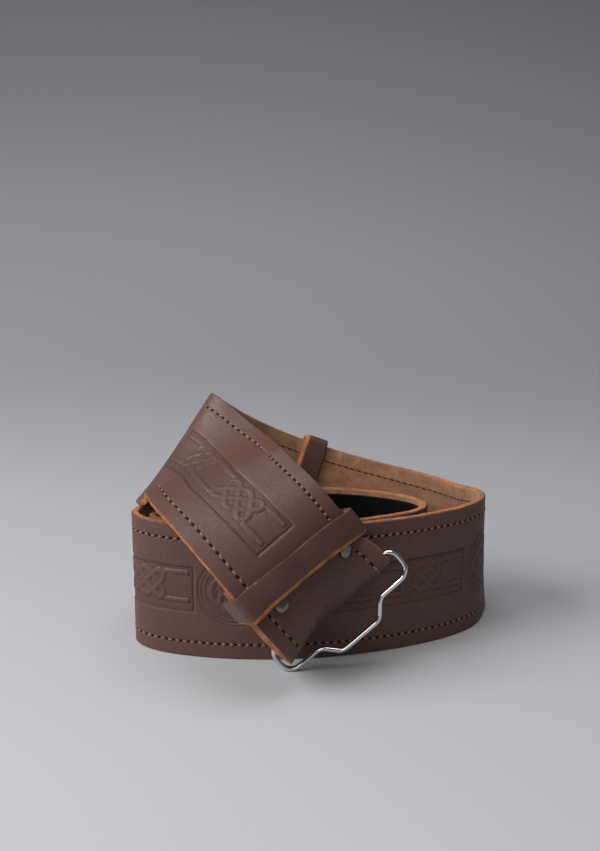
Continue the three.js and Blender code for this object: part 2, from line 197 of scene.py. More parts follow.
class StrapPath:
    """Middle surface of the strap from its free end, round the bar, to the end of the returning ply."""

    def __init__(self, strap_width, bar_centre):
        points, lean = self.spline(self.control_rows(strap_width))
        run = central_run(points)
        width, outward = strap_axes(run, lean)
        points = np.vstack([points, points[-1] + run[-1] * BAR_LEAD])
        width, outward, run = (np.vstack([part, part[-1]]) for part in (width, outward, run))
        steps = np.linalg.norm(np.diff(points, axis=0), axis=1)
        distance = np.concatenate([[0], np.cumsum(steps)])
        self.end = distance[-1]
        centre = points[-1] - outward[-1] * FOLD_RADIUS
        angles = np.linspace(0, math.pi, FOLD_STEPS + 1)[1:]
        fold_outward = outward[-1] * np.cos(angles)[:, None] + run[-1] * np.sin(angles)[:, None]
        self.fold_length = math.pi * FOLD_RADIUS
        back = np.linspace(0, FOLD_RETURN_LENGTH, RETURN_STEPS + 1)[1:]
        source = self.end - back
        front = [between(source, distance, part) for part in (points, width, outward)]
        self.distance = np.concatenate([
            distance, self.end + FOLD_RADIUS * angles, self.end + self.fold_length + back])
        shift = np.array(bar_centre) - centre
        self.points = shift + np.vstack([
            points, centre + fold_outward * FOLD_RADIUS,
            front[0] - unit(front[2]) * ply_offset(back)[:, None]])
        self.widths = np.vstack([width, np.repeat(width[-1:], FOLD_STEPS, 0), front[1]])
        self.outwards = np.vstack([outward, fold_outward, -front[2]])
        self.length = self.distance[-1]
        self.shift = shift

    @staticmethod
    def control_rows(strap_width):
        table = np.array(STATIONS, float)
        shares = table[:, :3] * [COIL_WIDTH, COIL_DEPTH, strap_width]
        lean = np.radians(table[:, 3])
        outward = strap_axes(central_run(shares), lean)[1]
        return np.column_stack([shares + outward * (table[:, 4:5] * LAYER_PITCH), lean])

    @staticmethod
    def spline(rows):
        rows = np.vstack([2 * rows[0] - rows[1], rows, 2 * rows[-1] - rows[-2]])
        samples = []
        for span in range(len(rows) - 3):
            last = span == len(rows) - 4
            for step in range(STEPS_PER_STATION + last):
                t = step / STEPS_PER_STATION
                weights = [(1 - t) ** 3 / 6, (3 * t ** 3 - 6 * t ** 2 + 4) / 6,
                           (-3 * t ** 3 + 3 * t ** 2 + 3 * t + 1) / 6, t ** 3 / 6]
                samples.append(np.array(weights) @ rows[span:span + 4])
        samples = np.array(samples)
        return samples[:, :3], samples[:, 3]

    def along(self, part, distance):
        return between(distance, self.distance, part)

    def wrap(self, flat):
        """Places flat points (distance along the strap, across its width, off its middle) on the coil."""
        flat = np.asarray(flat, float)
        middle = self.along(self.points, flat[:, 0])
        width = unit(self.along(self.widths, flat[:, 0]))
        outward = unit(self.along(self.outwards, flat[:, 0]))
        return middle + width * flat[:, 1:2] + outward * flat[:, 2:3]


PATH = StrapPath(STRAP_WIDTH, frame["joints"][0]["pos_m"])

# Embossing, in distances along the strap from its free end
Panel = namedtuple("Panel", "start knots")
KNOT_PITCH = 40 * MM
KNOT_TO_END = 22.4 * MM
ROUNDEL_RADIUS = 15 * MM
ROUNDELS = (350.8 * MM, 468.2 * MM, 626.4 * MM)
PANELS = (Panel(249.7 * MM, 2), Panel(367.1 * MM, 2), Panel(484.5 * MM, 3), Panel(642.7 * MM, 2))
PANEL_HALF_HEIGHT = 10 * MM
PANEL_CENTRE = 0.4 * MM
KNOT_HALF_LENGTH = 9.0 * MM
KNOT_HALF_HEIGHT = 5.9 * MM
KNOT_CENTRE = 1.1 * MM
STRAND_HALF_WIDTH = 0.98 * MM
TAIL_START = 10.2 * MM
TAIL_REACH = 19 * MM
TAIL_HEIGHT = 6 * MM
ROUNDEL_WEAVE = (6.3, 3.3)
RING_RADII = (14.8 * MM, 13.3 * MM, 11.6 * MM)
GROOVE_HALF_WIDTH = 0.42 * MM
BORDER_INSET = 0.6 * MM
PANEL_WALL = (-0.55 * MM, 0.15 * MM)
ROUNDEL_WALL = (10.6 * MM, 11.2 * MM)
# In shares of the relief depth
GROUND_DEPTH = 0.5
BORDER_DEPTH = 0.5
RING_DEPTH = 0.8
STRAND_RISE = 0.62
# Farther off than any strand's groove
FAR = 9.0
# How far the last panel strays across the strap, by distance
DRIFT = np.array([
    (640, 0.3), (655, 0.4), (665, -1.3), (672, -2.4), (680, -3.0), (690, -2.9), (700, -2.5), (715, -2.0),
    (727, -1.3)]) * MM


def triangle(wave):
    """A sine with its slopes straightened, so that a knot's strands cross in straight lines."""
    return np.arcsin(0.93 * wave) / math.asin(0.93)


def crossings(points):
    """Places along a closed line where it crosses itself, in order, as shares of its samples."""
    ahead = np.roll(points, -1, axis=0)
    p, r = points[:, None, :], (ahead - points)[:, None, :]
    q, s = points[None, :, :], (ahead - points)[None, :, :]
    cross = r[..., 0] * s[..., 1] - r[..., 1] * s[..., 0]
    cross = np.where(np.abs(cross) < 1e-18, 1e-18, cross)
    gap = q - p
    t = (gap[..., 0] * s[..., 1] - gap[..., 1] * s[..., 0]) / cross
    u = (gap[..., 0] * r[..., 1] - gap[..., 1] * r[..., 0]) / cross
    count = len(points)
    apart = np.abs(np.arange(count)[:, None] - np.arange(count)[None, :])
    apart = np.minimum(apart, count - apart)
    hit = (t >= 0) & (t < 1) & (u >= 0) & (u < 1) & (apart > 3)
    first, second = np.nonzero(hit)
    return sorted(first + t[first, second])


def interlaced(points, clearance):
    """Samples of a closed line without those that pass under another stretch of it."""
    steps = np.linalg.norm(np.roll(points, -1, axis=0) - points, axis=1)
    mean_step = steps.mean()
    keep = np.ones(len(points), bool)
    places = np.arange(len(points))
    for place in crossings(points)[1::2]:
        away = np.abs(places - place)
        away = np.minimum(away, len(points) - away) * mean_step
        keep &= away > clearance
    return points[keep]


def knot_line():
    turn = np.linspace(0, 2 * math.pi, 560, endpoint=False)
    line = np.column_stack([
        KNOT_HALF_LENGTH * triangle(np.sin(2 * turn)), KNOT_HALF_HEIGHT * triangle(np.sin(3 * turn))])
    return interlaced(line, 1.7 * STRAND_HALF_WIDTH)


def roundel_line():
    turn = np.linspace(0, 6 * math.pi, 700, endpoint=False)
    mean, swing = ROUNDEL_WEAVE
    radius = (mean + swing * np.cos(4 * turn / 3)) * MM
    line = np.column_stack([radius * np.cos(turn), radius * np.sin(turn)])
    return interlaced(line, 1.6 * STRAND_HALF_WIDTH)


def nearest(points, line):
    """Distance from each point to the nearest sample of a line."""
    gaps = points[:, None, :] - line[None, :, :]
    return np.sqrt((gaps ** 2).sum(-1)).min(1)


def bar_distance(points, centre, half):
    return np.max(np.abs(points - np.array(centre)) - np.array(half), axis=1)


def groove(offset, half_width):
    return np.exp(-(offset / half_width) ** 2)


def strand_height(distance):
    """Height of a strand over the ground, from 1 on its crown to a groove beside its foot."""
    share = distance / STRAND_HALF_WIDTH
    crown = 1 - 0.08 * np.clip(share, 0, 1) ** 2
    return crown * (1 - smoothstep(0.8, 1.15, share)) - 0.6 * groove(share - 1.35, 0.24)


def panel_length(panel):
    return 2 * KNOT_TO_END + (panel.knots - 1) * KNOT_PITCH


def panel_relief(points, panel):
    """Depth of a panel's embossing in shares of the relief depth, 0 on the strap's surface."""
    half = panel_length(panel) / 2
    place = points - [panel.start + half, PANEL_CENTRE]
    outside = bar_distance(place, (0, 0), (half, PANEL_HALF_HEIGHT))
    ground = 1 - smoothstep(*PANEL_WALL, outside)
    depth = -GROUND_DEPTH * ground - BORDER_DEPTH * groove(outside + BORDER_INSET, GROOVE_HALF_WIDTH)
    strands = np.zeros(len(points))
    line = knot_line()
    first = -(panel.knots - 1) / 2 * KNOT_PITCH
    tail_middle = (TAIL_START + TAIL_REACH) / 2
    tail_half = ((TAIL_REACH - TAIL_START) / 2, 0)
    for knot in range(panel.knots):
        local = place - [first + knot * KNOT_PITCH, KNOT_CENTRE]
        near = np.abs(local[:, 0]) < TAIL_REACH + 2 * MM
        distance = np.full(len(points), FAR)
        distance[near] = nearest(local[near], line)
        for side in (-1, 1):
            for height in (-TAIL_HEIGHT, TAIL_HEIGHT):
                tail = bar_distance(local, (side * tail_middle, height), tail_half)
                distance = np.minimum(distance, np.maximum(tail, 0) + 1e-5)
        strands = np.where(distance < 3 * STRAND_HALF_WIDTH, strand_height(distance), strands)
    return depth + ground * strands * STRAND_RISE


def roundel_relief(points, centre):
    local = points - [centre, PANEL_CENTRE]
    radius = np.linalg.norm(local, axis=1)
    inside = 1 - smoothstep(*ROUNDEL_WALL, radius)
    rings = sum(groove(radius - ring, GROOVE_HALF_WIDTH) for ring in RING_RADII)
    distance = np.full(len(points), FAR)
    near = radius < ROUNDEL_RADIUS
    distance[near] = nearest(local[near], roundel_line())
    return -GROUND_DEPTH * inside - RING_DEPTH * rings + inside * strand_height(distance) * STRAND_RISE


def relief(points):
    """Embossing at flat points (distance, across), as shares of the relief depth."""
    depth = np.zeros(len(points))
    along = points[:, 0]
    points = np.column_stack([along, points[:, 1] - np.interp(along, *DRIFT.T)])
    for panel in PANELS:
        end = panel.start + panel_length(panel)
        near = (along > panel.start - 2 * MM) & (along < end + 2 * MM)
        near &= np.abs(points[:, 1]) < PANEL_HALF_HEIGHT + 3 * MM
        depth[near] += panel_relief(points[near], panel)
    for centre in ROUNDELS:
        near = np.abs(along - centre) < ROUNDEL_RADIUS + 2 * MM
        depth[near] += roundel_relief(points[near], centre)
    return depth


def waver(values, seed, lengths):
    """Smooth unevenness between about -1 and 1, from a few waves of the given lengths."""
    draw = np.random.default_rng(seed)
    total = np.zeros_like(values)
    for length in lengths:
        total += np.sin(2 * math.pi * values / length + draw.uniform(0, 2 * math.pi))
    return total / len(lengths)


# Mesh helpers


def set_mode(mode):
    bpy.ops.object.mode_set(mode=mode)


def start_piece():
    if bpy.context.mode != "OBJECT":
        set_mode("OBJECT")
    bpy.ops.object.select_all(action="DESELECT")


def corner_places(piece):
    places = np.empty(len(piece.data.vertices) * 3)
    piece.data.vertices.foreach_get("co", places)
    return places.reshape(-1, 3)


def place_corners(piece, places):
    piece.data.vertices.foreach_set("co", np.asarray(places, np.float32).ravel())
    piece.data.update()


def keep_attribute(piece, name, values):
    vector = np.ndim(values) == 2
    layer = piece.data.attributes.new(name, "FLOAT_VECTOR" if vector else "FLOAT", "POINT")
    layer.data.foreach_set("vector" if vector else "value", np.asarray(values, np.float32).ravel())


def rolled_grid(name, rows, columns):
    """Grid whose last column will lie on its first. Gives the piece and each corner's row and column."""
    start_piece()
    bpy.ops.mesh.primitive_grid_add(x_subdivisions=rows - 1, y_subdivisions=columns, size=1)
    piece = bpy.context.object
    piece.name = name
    places = corner_places(piece)
    row = np.rint((places[:, 0] + 0.5) * (rows - 1)).astype(int)
    column = np.rint((places[:, 1] + 0.5) * columns).astype(int)
    return piece, row, column


def close_grid(piece):
    """Merges a rolled grid's seam and caps its two ends."""
    bpy.context.view_layer.objects.active = piece
    set_mode("EDIT")
    bpy.ops.mesh.select_all(action="SELECT")
    bpy.ops.mesh.remove_doubles(threshold=2e-6)
    bpy.ops.mesh.select_all(action="DESELECT")
    bpy.ops.mesh.select_mode(type="EDGE")
    bpy.ops.mesh.select_non_manifold(extend=False)
    bpy.ops.mesh.fill_holes(sides=0)
    bpy.ops.mesh.select_all(action="SELECT")
    bpy.ops.mesh.normals_make_consistent(inside=False)
    bpy.ops.mesh.select_mode(type="VERT")
    set_mode("OBJECT")


def shade(piece, angle):
    start_piece()
    piece.select_set(True)
    bpy.context.view_layer.objects.active = piece
    bpy.ops.object.shade_smooth_by_angle(angle=math.radians(angle))
    start_piece()


def face_corners(piece, values):
    """Each four-sided face's values at its corners, from values of the piece's corners."""
    start = np.empty(len(piece.data.polygons), int)
    piece.data.polygons.foreach_get("loop_start", start)
    corners = np.empty(len(piece.data.loops), int)
    piece.data.loops.foreach_get("vertex_index", corners)
    return np.stack([values[corners[start + step]] for step in range(4)])


def finish_faces(piece, kinds):
    piece.data.polygons.foreach_set("material_index", np.asarray(kinds, np.int32))


def dress(piece, *finishes):
    """Gives a piece its materials. It comes before the faces' own choices, which it would reset."""
    piece.data.materials.clear()
    for finish in finishes:
        piece.data.materials.append(finish)


def carry(piece, body, slot, *replaced):
    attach(piece, body)
    if replaced:
        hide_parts(*replaced)


# Materials


class Channel:
    """A shader value that Python's arithmetic works on, each step adding its Math node."""

    def __init__(self, tree, socket):
        self.tree = tree
        self.socket = socket

    def math(self, operation, first, second=None):
        node = self.tree.nodes.new("ShaderNodeMath")
        node.operation = operation
        for slot, value in zip(node.inputs, (first, second)):
            feed(self.tree, slot, value)
        return Channel(self.tree, node.outputs[0])

    def __add__(self, other):
        return self.math("ADD", self, other)

    __radd__ = __add__

    def __sub__(self, other):
        return self.math("SUBTRACT", self, other)

    def __rsub__(self, other):
        return self.math("SUBTRACT", other, self)

    def __mul__(self, other):
        return self.math("MULTIPLY", self, other)

    def __abs__(self):
        return self.math("ABSOLUTE", self)


def feed(tree, slot, value):
    """Links or sets a socket. A colour may be given as six hex digits."""
    if isinstance(value, Channel):
        tree.links.new(value.socket, slot)
    elif value is not None:
        if isinstance(value, str):
            value = linear(value)
        if slot.type == "RGBA" and len(value) == 3:
            value = (*value, 1.0)
        slot.default_value = value


class Finish:
    """A material being built."""

    def __init__(self, name):
        self.material = bpy.data.materials.new(name)
        self.material.use_nodes = True
        self.tree = self.material.node_tree
        self.tree.nodes.clear()

    def node(self, kind, values, settings=None, output=0):
        """Adds a node of a kind, sets its settings, feeds its sockets, and gives one of its outputs."""
        node = self.tree.nodes.new("ShaderNode" + kind)
        for name, value in (settings or {}).items():
            setattr(node, name, value)
        for name, value in values.items():
            feed(self.tree, node.inputs[name], value)
        return Channel(self.tree, node.outputs[output])

    def attribute(self, name, output="Vector"):
        return self.node("Attribute", {}, {"attribute_name": name}, output)

    def place(self):
        return self.node("TexCoord", {}, output="Object")

    def noise(self, place, scale, detail=3.0, roughness=0.55, distortion=0.0):
        return self.node("TexNoise", {
            "Vector": place, "Scale": scale, "Detail": detail, "Roughness": roughness,
            "Distortion": distortion}, output="Fac")

    def cells(self, place, scale):
        return self.node("TexVoronoi", {"Vector": place, "Scale": scale}, output="Distance")

    def ramp(self, value, low, high):
        """Value from 0 at low to 1 at high."""
        return self.node("MapRange", {
            "Value": value, "From Min": low, "From Max": high}, {"interpolation_type": "SMOOTHSTEP"})

    def blend(self, share, first, second):
        """Mixes two colours, whose sockets the Mix node keeps at 6 and 7 and its result at 2."""
        return self.node("Mix", {0: share, 6: first, 7: second}, {"data_type": "RGBA"}, 2)

    def tint(self, tone, colour, value, low, high, share):
        """Tone that goes over to a colour by up to a share, while a value rises from low to high."""
        return self.blend(self.ramp(value, low, high) * share, tone, colour)

    def bump(self, height, strength, distance):
        return self.node("Bump", {"Height": height, "Strength": strength, "Distance": distance})

    def finish(self, **sockets):
        values = {name.replace("_", " "): value for name, value in sockets.items()}
        shader = self.node("BsdfPrincipled", values)
        output = self.tree.nodes.new("ShaderNodeOutputMaterial")
        self.tree.links.new(shader.socket, output.inputs["Surface"])
        return self.material


# Where a stitch hole fades out, and how much narrower it is across the strap
HOLE_RIM = (0.6 * MM, 0.95 * MM)
HOLE_SQUEEZE = 1.25


def shaded_stitch_holes(finish, flat):
    """1 in the holes at the ends of each stitch, 0 elsewhere: where the painted shade of the holes goes.
    """
    along, across = (finish.node("SeparateXYZ", {"Vector": flat}, output=axis) for axis in (0, 1))
    phase = along.math("PINGPONG", along, sizes().stitch_pitch / 2)
    offset = abs(abs(across) - stitch_line()) * HOLE_SQUEEZE
    squares = phase * phase + offset * offset
    distance = squares.math("SQRT", squares)
    return 1 - finish.ramp(distance, *HOLE_RIM)


def leather_finish():
    finish = Finish("embossed_leather")
    flat = finish.attribute("flat")
    depth = finish.attribute("relief", "Fac")
    mottle = finish.noise(flat, 55, 4)
    fine = finish.noise(flat, 900, 3)
    pores = finish.cells(flat, 1500)
    tone = finish.tint(colours().leather, "5b3e36", mottle, 0.3, 0.7, 0.55)
    tone = finish.tint(tone, "3a2621", fine, 0.35, 0.8, 0.35)
    # Painted shade: the leather gets darker in the embossing's ground and much darker (1f1210) in its
    # deeper grooves, by the relief depth
    tone = finish.tint(tone, colours().dark_leather_and_groove_shade, depth, 0.3, 0.8, 0.25)
    tone = finish.tint(tone, "1f1210", depth, 0.6, 1.05, 0.75)
    holes = shaded_stitch_holes(finish, flat)
    # Painted shade: the stitch holes are painted near black (0a0605), standing in for the shade inside
    # them
    tone = finish.blend(holes, tone, "0a0605")
    normal = finish.bump(pores * 0.5 + fine * 0.5, 0.32, 0.18 * MM)
    rough = 0.46 + holes * 0.5 + finish.ramp(fine, 0.3, 0.7) * 0.14 + finish.ramp(depth, 0.3, 1.2) * 0.08
    return finish.finish(Base_Color=tone, Roughness=rough, Normal=normal, Specular_IOR_Level=0.42)


def keeper_finish():
    finish = Finish("keeper_leather")
    place = finish.place()
    mottle = finish.noise(place, 60, 4)
    fine = finish.noise(place, 900, 3)
    pores = finish.cells(place, 1300)
    tone = finish.tint("4a302a", "583c34", mottle, 0.3, 0.7, 0.6)
    tone = finish.tint(tone, colours().dark_leather_and_groove_shade, fine, 0.4, 0.8, 0.3)
    normal = finish.bump(pores * 0.5 + fine * 0.5, 0.3, 0.18 * MM)
    return finish.finish(Base_Color=tone, Roughness=0.36 + fine * 0.16, Normal=normal)


def suede_finish():
    finish = Finish("suede")
    flat = finish.attribute("flat")
    drawn_out = finish.node("Mapping", {"Vector": flat, "Scale": (1.0, 1.6, 1.0)})
    cloud = finish.noise(drawn_out, 130, 6, 0.7, 0.4)
    nap = finish.noise(flat, 1700, 4, 0.7)
    tone = finish.blend(finish.ramp(cloud, 0.35, 0.68), "7a5238", colours().suede)
    tone = finish.tint(tone, "a67c5c", nap, 0.35, 0.75, 0.5)
    normal = finish.bump(nap + cloud * 0.6, 0.7, 0.35 * MM)
    return finish.finish(Base_Color=tone, Roughness=0.95, Normal=normal, Sheen_Weight=0.25,
                         Sheen_Roughness=0.5)


def cut_edge_finish():
    finish = Finish("raw_edge")
    place = finish.place()
    fibre = finish.noise(place, 1400, 5, 0.7)
    cloud = finish.noise(place, 160, 4)
    tone = finish.blend(finish.ramp(cloud, 0.35, 0.7), "8c5730", colours().cut_edge)
    tone = finish.tint(tone, "4c2c1a", fibre, 0.45, 0.75, 0.7)
    normal = finish.bump(fibre, 0.8, 0.4 * MM)
    return finish.finish(Base_Color=tone, Roughness=0.9, Normal=normal)


def thread_finish(name, colour, deep):
    finish = Finish(name)
    ply = finish.noise(finish.place(), 2600, 3)
    tone = finish.blend(finish.ramp(ply, 0.35, 0.7), deep, colour)
    normal = finish.bump(ply, 0.5, 0.1 * MM)
    return finish.finish(Base_Color=tone, Roughness=0.6, Normal=normal)


def tape_finish():
    finish = Finish("hook_tape")
    flat = finish.attribute("flat")
    loops = finish.cells(flat, 900)
    fuzz = finish.noise(flat, 2200, 4, 0.7)
    tone = finish.blend(finish.ramp(fuzz, 0.4, 0.75), colours().tape, "0d0d0e")
    normal = finish.bump(loops + fuzz, 0.9, 0.5 * MM)
    return finish.finish(Base_Color=tone, Roughness=1.0, Normal=normal, Specular_IOR_Level=0.2)


def chrome_finish():
    finish = Finish("bright_chrome")
    smear = finish.noise(finish.place(), 240, 4)
    tone = finish.tint(colours().metal, "b4b5b8", smear, 0.3, 0.8, 0.3)
    return finish.finish(Base_Color=tone, Metallic=1.0, Roughness=0.05 + smear * 0.06)


def rivet_finish():
    finish = Finish("nickel_rivet")
    smear = finish.noise(finish.place(), 900, 4)
    tone = finish.tint("7d7975", "3f3c3a", smear, 0.35, 0.8, 0.6)
    return finish.finish(Base_Color=tone, Metallic=1.0, Roughness=0.12 + smear * 0.12)


# Strap


GRAIN, EDGE, FLESH = range(3)
# Stretches of the strap and the spacing of their rows, in mm
ROW_STRETCHES = ((0, 246, 3.0), (246, 300, 0.9), (300, 470, 0.47), (470, 655, 0.95), (655, 732, 0.47))
GRAIN_RIM_DROP = 0.5 * MM
FLESH_RIM_DROP = 0.3 * MM
TRENCH_DEPTH = 0.5 * MM
TRENCH_HALF_WIDTH = 0.6 * MM
EDGE_WAVES = (0.061, 0.023, 0.0097, 0.0041)
EDGE_UNEVENNESS = 0.16 * MM
EDGE_TRIM = 0.12 * MM
# The flap's roll before the fold and dip beside the keeper, askew on the strap by the slant
Swell = namedtuple("Swell", "height setback half_width")
FLAP_SWELLS = (Swell(0.6 * MM, 13 * MM, 5.5 * MM), Swell(-0.5 * MM, 24.5 * MM, 4.2 * MM))
FLAP_SLANT = 5 * MM


def grain_columns(half):
    """Places across the grain side, close together where it is embossed or stitched."""
    row = stitch_line()
    pattern = np.arange(-17.4, 17.41, 0.6) * MM
    between = np.arange(18.4, row / MM - 1.3, 1.0) * MM
    stitched = row + np.arange(-1.2, 1.21, 0.4) * MM
    margin = np.array([0.38, 0.62, 0.84]) * (half - stitched[-1]) + stitched[-1]
    rim = half - np.array([0.5, 0.16, 0.0]) * MM
    side = np.concatenate([between, stitched, margin, rim])
    return np.concatenate([-side[::-1], pattern, side])


def rim_drop(offset, depth):
    """How far an edge corner falls below its face, offset from the strap's side."""
    return depth * (1 - smoothstep(0, 0.55 * MM, offset)) ** 1.4


def strap_section():
    """Columns round the strap's section: place across, place off the middle, and the finish they begin."""
    half = half_width()
    face = ply_face()
    grain = grain_columns(half)
    flesh = np.array([1.0, 0.985, 0.775, 0.5, 0, -0.5, -0.775, -0.985, -1.0]) * half
    across = np.concatenate([grain, [half], flesh, [-half]])
    off = np.concatenate([
        face - rim_drop(half - np.abs(grain), GRAIN_RIM_DROP), [0],
        -face + rim_drop(half - np.abs(flesh), FLESH_RIM_DROP), [0]])
    kind = np.concatenate([
        np.full(len(grain) - 1, GRAIN), [EDGE, EDGE], np.full(len(flesh) - 1, FLESH), [EDGE, EDGE]])
    return across, off, kind


def strap_rows():
    """Distances of the strap's rows from its free end."""
    parts = [np.arange(start, end, step) * MM for start, end, step in ROW_STRETCHES]
    fold_end = PATH.end + PATH.fold_length
    flap = np.linspace(ROW_STRETCHES[-1][1] * MM, PATH.end, 24)
    fold = np.linspace(PATH.end, fold_end, 15)[1:]
    back = np.linspace(fold_end, PATH.length, 16)[1:]
    return np.concatenate([*parts, flap, fold, back])


def flap_shape(distance, across):
    """Rise of the flap's grain side over its plain face."""
    back = PATH.end - distance + FLAP_SLANT * across / (half_width())
    return sum(swell.height * groove(back - swell.setback, swell.half_width) for swell in FLAP_SWELLS)


def strap_flat(row, column, rows, section):
    """Flat places of the strap's corners, and the embossing there."""
    across, off, kind = section
    column = column % len(across)
    distance = rows[row]
    width = across[column]
    height = off[column]
    grain = kind[column] == GRAIN
    depth = np.zeros(len(row))
    depth[grain] = relief(np.column_stack([distance, width])[grain])
    trench = groove(np.abs(width) - stitch_line(), TRENCH_HALF_WIDTH)
    dents = 0.2 + 0.8 * np.cos(math.pi * distance / sizes().stitch_pitch) ** 6
    height = height + np.where(grain, depth * sizes().relief_depth - TRENCH_DEPTH * trench * dents, 0)
    height = height + np.where(grain & (distance < PATH.end), flap_shape(distance, width), 0)
    rough_edge = np.abs(width) > half_width() - 0.1 * MM
    uneven = waver(distance + 0.4 * width, 5, EDGE_WAVES) * EDGE_UNEVENNESS
    width = width + np.where(rough_edge, np.sign(width) * (uneven - EDGE_TRIM), 0)
    return np.column_stack([distance, width, height]), depth


class BELT_OT_strap(bpy.types.Operator):
    """Leather strap, embossed on its grain side, with raw cut edges and a suede flesh side"""
    bl_idname = "belt.strap"
    bl_label = "Strap"

    def execute(self, context):
        rows = strap_rows()
        section = strap_section()
        columns = len(section[0])
        piece, row, column = rolled_grid("belt_strap", len(rows), columns)
        flat, depth = strap_flat(row, column, rows, section)
        place_corners(piece, PATH.wrap(flat))
        keep_attribute(piece, "flat", flat)
        keep_attribute(piece, "relief", -depth)
        dress(piece, leather_finish(), cut_edge_finish(), suede_finish())
        finish_faces(piece, section[2][face_corners(piece, column).min(0) % columns])
        close_grid(piece)
        shade(piece, 38)
        carry(piece, "belt", "leather", "strap")
        return {"FINISHED"}


# Touch fastener

TAPE_START = 9 * MM
TAPE_LENGTH = 262 * MM
TAPE_MARGIN = 2.2 * MM
TAPE_THICKNESS = 1.5 * MM
TAPE_SEAT_GAP = 0.3 * MM
TUFT_HEIGHT = 0.22 * MM


class BELT_OT_touch_fastener(bpy.types.Operator):
    """Black touch fastener on the flesh side of the free end"""
    bl_idname = "belt.touch_fastener"
    bl_label = "Touch fastener"

    def execute(self, context):
        rows = np.linspace(TAPE_START, TAPE_START + TAPE_LENGTH, 240)
        half = half_width() - TAPE_MARGIN
        seat = -ply_face() - TAPE_SEAT_GAP
        face = seat - TAPE_THICKNESS
        pile = np.linspace(-half, half, 46)
        across = np.concatenate([pile, [half, -half]])
        off = np.concatenate([np.full(len(pile), face), [seat, seat]])
        piece, row, column = rolled_grid("belt_touch_fastener", len(rows), len(across))
        column = column % len(across)
        draw = np.random.default_rng(11)
        tufts = draw.uniform(-1, 1, (len(rows), len(across))) * TUFT_HEIGHT
        height = off[column] + np.where(column < len(pile), np.abs(tufts[row, column]), 0)
        flat = np.column_stack([rows[row], across[column], height])
        place_corners(piece, PATH.wrap(flat))
        keep_attribute(piece, "flat", flat)
        close_grid(piece)
        dress(piece, tape_finish())
        shade(piece, 60)
        carry(piece, "belt", "tape", "touch_fastener")
        return {"FINISHED"}


# Keepers

KEEPER_CLEARANCE = 0.8 * MM
OVER_RIVETS = 2.8 * MM
# Places across in shares of the strap's half width, and how far back (mm) a keeper's two edges lie
FRONT_KEEPER_EDGES = np.array([
    (-1.0, 30.8, 40.4), (-0.7, 30.6, 40.0), (0.0, 28.0, 38.3),
    (0.4, 25.8, 37.5), (0.75, 22.4, 36.2), (1.0, 19.2, 34.4)])
BACK_KEEPER_EDGES = np.array([(-1.0, 194.25, 205.75), (1.0, 194.25, 205.75)])
KEEPER_BEND_STEPS = 7
KEEPER_STEPS = 12
KEEPER_LIFT = 0.7 * MM
KEEPER_CROWN = 0.12 * MM
KEEPER_WAVES = (0.031, 0.013, 0.0062, 0.0023)
KEEPER_UNEVENNESS = 0.22 * MM
KEEPER_TRIM = 0.1 * MM
RAW_CUT_REACH = 1.9 * MM


def band_outline(half, outer, inner, radius):
    """Points and outward directions round a rectangle with round corners, in (across, off) places."""
    corners = ((half, outer, 0), (-half, outer, 90), (-half, inner, 180), (half, inner, 270))
    points, normals = [], []
    for across, off, start in corners:
        centre = (across - math.copysign(radius, across), off - radius if off == outer else off + radius)
        for step in range(KEEPER_BEND_STEPS + 1):
            angle = math.radians(start + 90 * step / KEEPER_BEND_STEPS)
            normal = (math.cos(angle), math.sin(angle))
            points.append((centre[0] + radius * normal[0], centre[1] + radius * normal[1]))
            normals.append(normal)
    return np.array(points), np.array(normals)


def fill_sides(points, normals, longest):
    """Adds points along the straight sides so that no step is longer than the given length."""
    full_points, full_normals = [], []
    for index in range(len(points)):
        ahead = (index + 1) % len(points)
        count = max(1, math.ceil(np.linalg.norm(points[ahead] - points[index]) / longest))
        for step in range(count):
            share = step / count
            full_points.append(points[index] * (1 - share) + points[ahead] * share)
            full_normals.append(normals[index] * (1 - share) + normals[ahead] * share)
    return np.array(full_points), unit(np.array(full_normals))


def band_section(width, thickness):
    """Places round a keeper's own section: along the strap, and out from the band's inside."""
    edge = np.linspace(-1, 1, KEEPER_STEPS)
    crown = KEEPER_CROWN * (1 - edge ** 2)
    across = np.linspace(0.3 * MM - width / 2, width / 2 - RAW_CUT_REACH, KEEPER_STEPS)
    outside = np.column_stack([across, thickness + crown])
    inside = np.column_stack([edge[::-1] * (width / 2 - 0.15 * MM), np.zeros(KEEPER_STEPS)])
    right = np.array([[width / 2 - 0.4 * RAW_CUT_REACH, thickness * 0.8], [width / 2, thickness * 0.3]])
    left = np.array([[-width / 2, thickness * 0.2], [-width / 2, thickness * 0.78]])
    return np.vstack([outside, right, inside, left])


